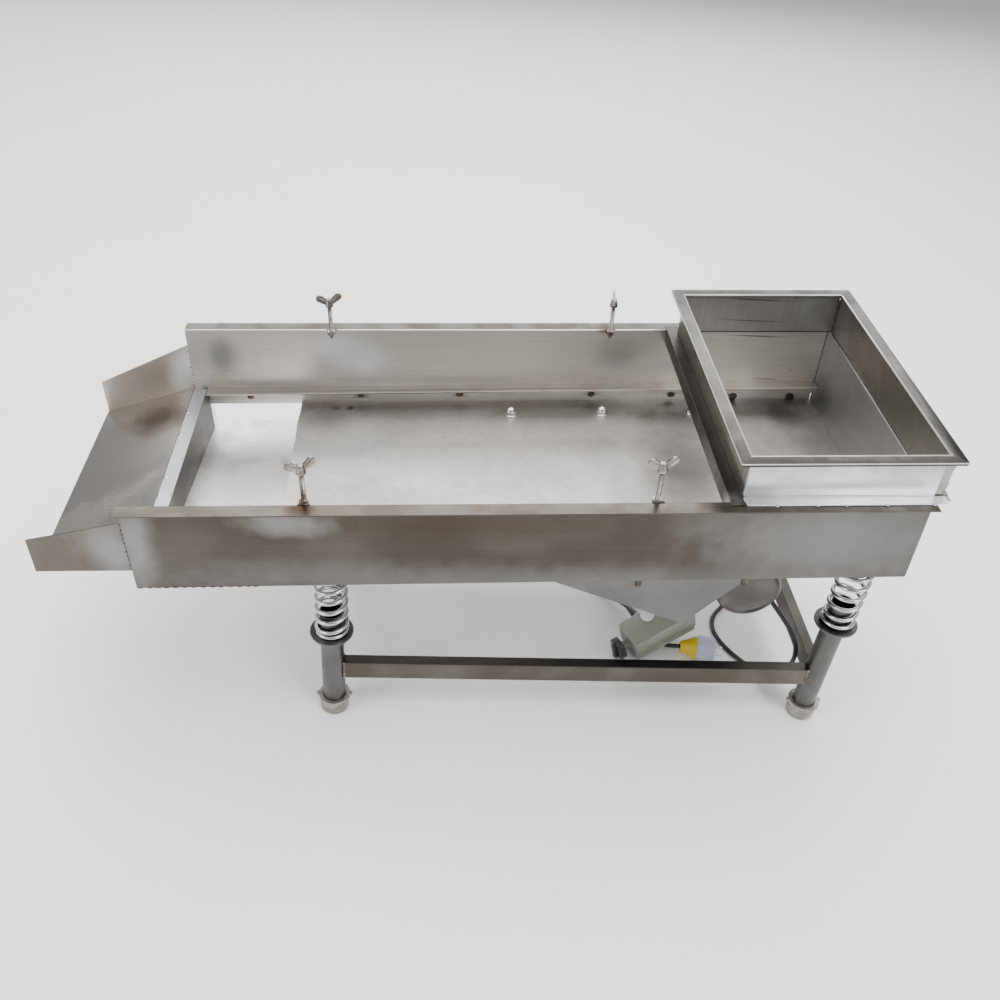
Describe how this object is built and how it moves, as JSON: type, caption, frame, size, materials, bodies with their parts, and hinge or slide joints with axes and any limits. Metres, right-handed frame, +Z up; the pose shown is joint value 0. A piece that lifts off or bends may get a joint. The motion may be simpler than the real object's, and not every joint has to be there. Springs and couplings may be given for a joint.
{
  "type": "linear vibrating screen",
  "caption": "Sloping stainless sieve trough on four coil springs, with feed hopper, end chute, under-slung vibration motor, tube stand, switch and plug.",
  "frame": {"origin": "on the floor under the middle of the machine", "axes": "+X along the trough towards the feed hopper, +Y to the back, +Z up"},
  "size_m": [1.3802, 0.558, 0.6321],
  "materials": {
    "stainless_sheet": "satin, cloudy",
    "stainless_angle": "satin",
    "stainless_bracket": "satin",
    "stainless_tube": "satin",
    "stainless_rail": "brushed",
    "bright_fastener": "bright",
    "bright_spring": "bright",
    "foot_cup": "dull, tinted",
    "motor_casting": "satin",
    "motor_cover": "satin",
    "switch_grey": "satin",
    "black_plastic": "matte",
    "plug_grey": "matte",
    "plug_yellow": "matte",
    "cord_rubber": "matte"
  },
  "bodies": {
    "stand": {"leg_front_left": "stainless_tube", "leg_back_left": "stainless_tube", "leg_front_right": "stainless_tube", "leg_back_right": "stainless_tube", "spring_front_left": "bright_spring", "spring_back_left": "bright_spring", "spring_front_right": "bright_spring", "spring_back_right": "bright_spring", "rail_front": "stainless_rail", "rail_back": "stainless_rail", "rail_left": "stainless_rail", "rail_right": "stainless_rail", "feet": "foot_cup", "switch_box": "switch_grey", "plug_body": "plug_grey", "plug_collar": "plug_yellow", "plug_pins": "bright_fastener", "motor_cord": "cord_rubber", "supply_cord": "cord_rubber", "supply_coil": "cord_rubber"},
    "trough": {"front_wall": "stainless_sheet", "back_wall": "stainless_sheet", "right_end_wall": "stainless_sheet", "left_end_wall": "stainless_sheet", "bottom_pan": "stainless_sheet", "undersize_chute": "stainless_sheet", "front_ledge": "stainless_angle", "back_ledge": "stainless_angle", "oversize_plate": "stainless_sheet", "front_chute_wing": "stainless_sheet", "back_chute_wing": "stainless_sheet", "hopper_front": "stainless_sheet", "hopper_back": "stainless_sheet", "hopper_left": "stainless_sheet", "hopper_right": "stainless_sheet", "hopper_cross_angle": "stainless_angle", "clamp_nuts": "bright_fastener", "pan_bolts": "bright_fastener", "bracket_front": "stainless_bracket", "bracket_back": "stainless_bracket", "motor_mount_plate": "stainless_bracket", "motor_body": "motor_casting", "motor_covers": "motor_cover", "terminal_box": "motor_casting", "motor_gland": "black_plastic", "spring_caps": "stainless_tube"},
    "knob": {"switch_knob": "black_plastic"},
    "screw_front_left": {"clamp_screw_front_left": "bright_fastener"},
    "screw_front_right": {"clamp_screw_front_right": "bright_fastener"},
    "screw_back_left": {"clamp_screw_back_left": "bright_fastener"},
    "screw_back_right": {"clamp_screw_back_right": "bright_fastener"}
  },
  "joints": [
    {"name": "suspension", "type": "slide", "parent": "stand", "child": "trough", "axis": [0, 0, 1], "range_m": [-0.004, 0.004], "stiffness_N_per_m": 30000, "springref_m": 0.01534, "deforming": ["spring_front_left", "spring_front_right", "spring_back_left", "spring_back_right"]},
    {"name": "clamp_travel_front_left", "type": "slide", "parent": "trough", "child": "screw_front_left", "axis": [-0.0436, 0, 0.999], "range_m": [-0.045, 0.006]},
    {"name": "clamp_travel_front_right", "type": "slide", "parent": "trough", "child": "screw_front_right", "axis": [-0.0436, 0, 0.999], "range_m": [-0.045, 0.006]},
    {"name": "clamp_travel_back_left", "type": "slide", "parent": "trough", "child": "screw_back_left", "axis": [-0.0436, 0, 0.999], "range_m": [-0.045, 0.006]},
    {"name": "clamp_travel_back_right", "type": "slide", "parent": "trough", "child": "screw_back_right", "axis": [-0.0436, 0, 0.999], "range_m": [-0.045, 0.006]},
    {"name": "knob_turn", "type": "hinge", "parent": "stand", "child": "knob", "pos_m": [0.30356, -0.07112, 0.02382], "axis": [-0.8782, -0.391, -0.2756], "range_deg": [-60, 60]}
  ]
}
